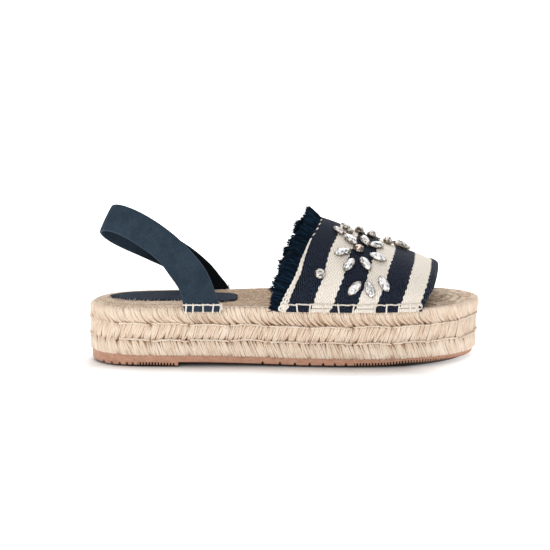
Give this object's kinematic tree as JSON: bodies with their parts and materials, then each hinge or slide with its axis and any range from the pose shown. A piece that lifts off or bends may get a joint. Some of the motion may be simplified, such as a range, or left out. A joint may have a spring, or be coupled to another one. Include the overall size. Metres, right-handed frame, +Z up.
{
  "type": "espadrille sandal",
  "caption": "Right slingback espadrille sandal: flat jute platform on a rubber outsole, striped cotton vamp with a cut fringe and faceted stones, suede heel strap.",
  "frame": {"origin": "centre of the bounding box in plan, on the ground under the outsole", "axes": "+X from heel to toe, +Y to the medial side, +Z up"},
  "size_m": [0.252, 0.0982, 0.1013],
  "materials": {
    "jute": "natural jute braid, dry and fibrous",
    "rubber": "tan moulded rubber, matt",
    "striped_cotton": "heavy cotton twill with crosswise navy and cream stripes",
    "fringe_cotton": "navy cotton threads",
    "strap_suede": "navy suede",
    "pad_suede": "navy suede",
    "crystal": "faceted clear glass with a silvered back",
    "claw_metal": "bright claw settings of the stones",
    "thread": "off-white cotton sewing thread"
  },
  "bodies": {
    "root": {"fringe": "fringe_cotton", "heel_pad": "pad_suede", "heel_strap": "strap_suede", "outsole": "rubber", "rope_row_lower": "jute", "rope_row_middle": "jute", "rope_row_upper": "jute", "stone_lateral_01_round": "crystal", "stone_lateral_02_marquise": "crystal", "stone_lateral_03_marquise": "crystal", "stone_lateral_04_marquise": "crystal", "stone_lateral_05_marquise": "crystal", "stone_lateral_06_marquise": "crystal", "stone_lateral_07_marquise": "crystal", "stone_lateral_08_marquise": "crystal", "stone_lateral_09_marquise": "crystal", "stone_lateral_10_marquise": "crystal", "stone_lateral_11_marquise": "crystal", "stone_lateral_12_round": "crystal", "stone_lateral_13_marquise": "crystal", "stone_lateral_14_bead": "crystal", "stone_lateral_15_bead": "crystal", "stone_medial_01_round": "crystal", "stone_medial_02_marquise": "crystal", "stone_medial_03_marquise": "crystal", "stone_medial_04_marquise": "crystal", "stone_medial_05_marquise": "crystal", "stone_medial_06_marquise": "crystal", "stone_medial_07_marquise": "crystal", "stone_medial_08_marquise": "crystal", "stone_medial_09_marquise": "crystal", "stone_medial_10_marquise": "crystal", "stone_medial_11_marquise": "crystal", "stone_medial_12_round": "crystal", "stone_medial_13_marquise": "crystal", "stone_medial_14_bead": "crystal", "stone_medial_15_bead": "crystal", "stone_ridge_01_round": "crystal", "stone_ridge_02_round": "crystal", "stone_ridge_03_round": "crystal", "stone_ridge_04_marquise": "crystal", "vamp": "striped_cotton"}
  },
  "joints": []
}
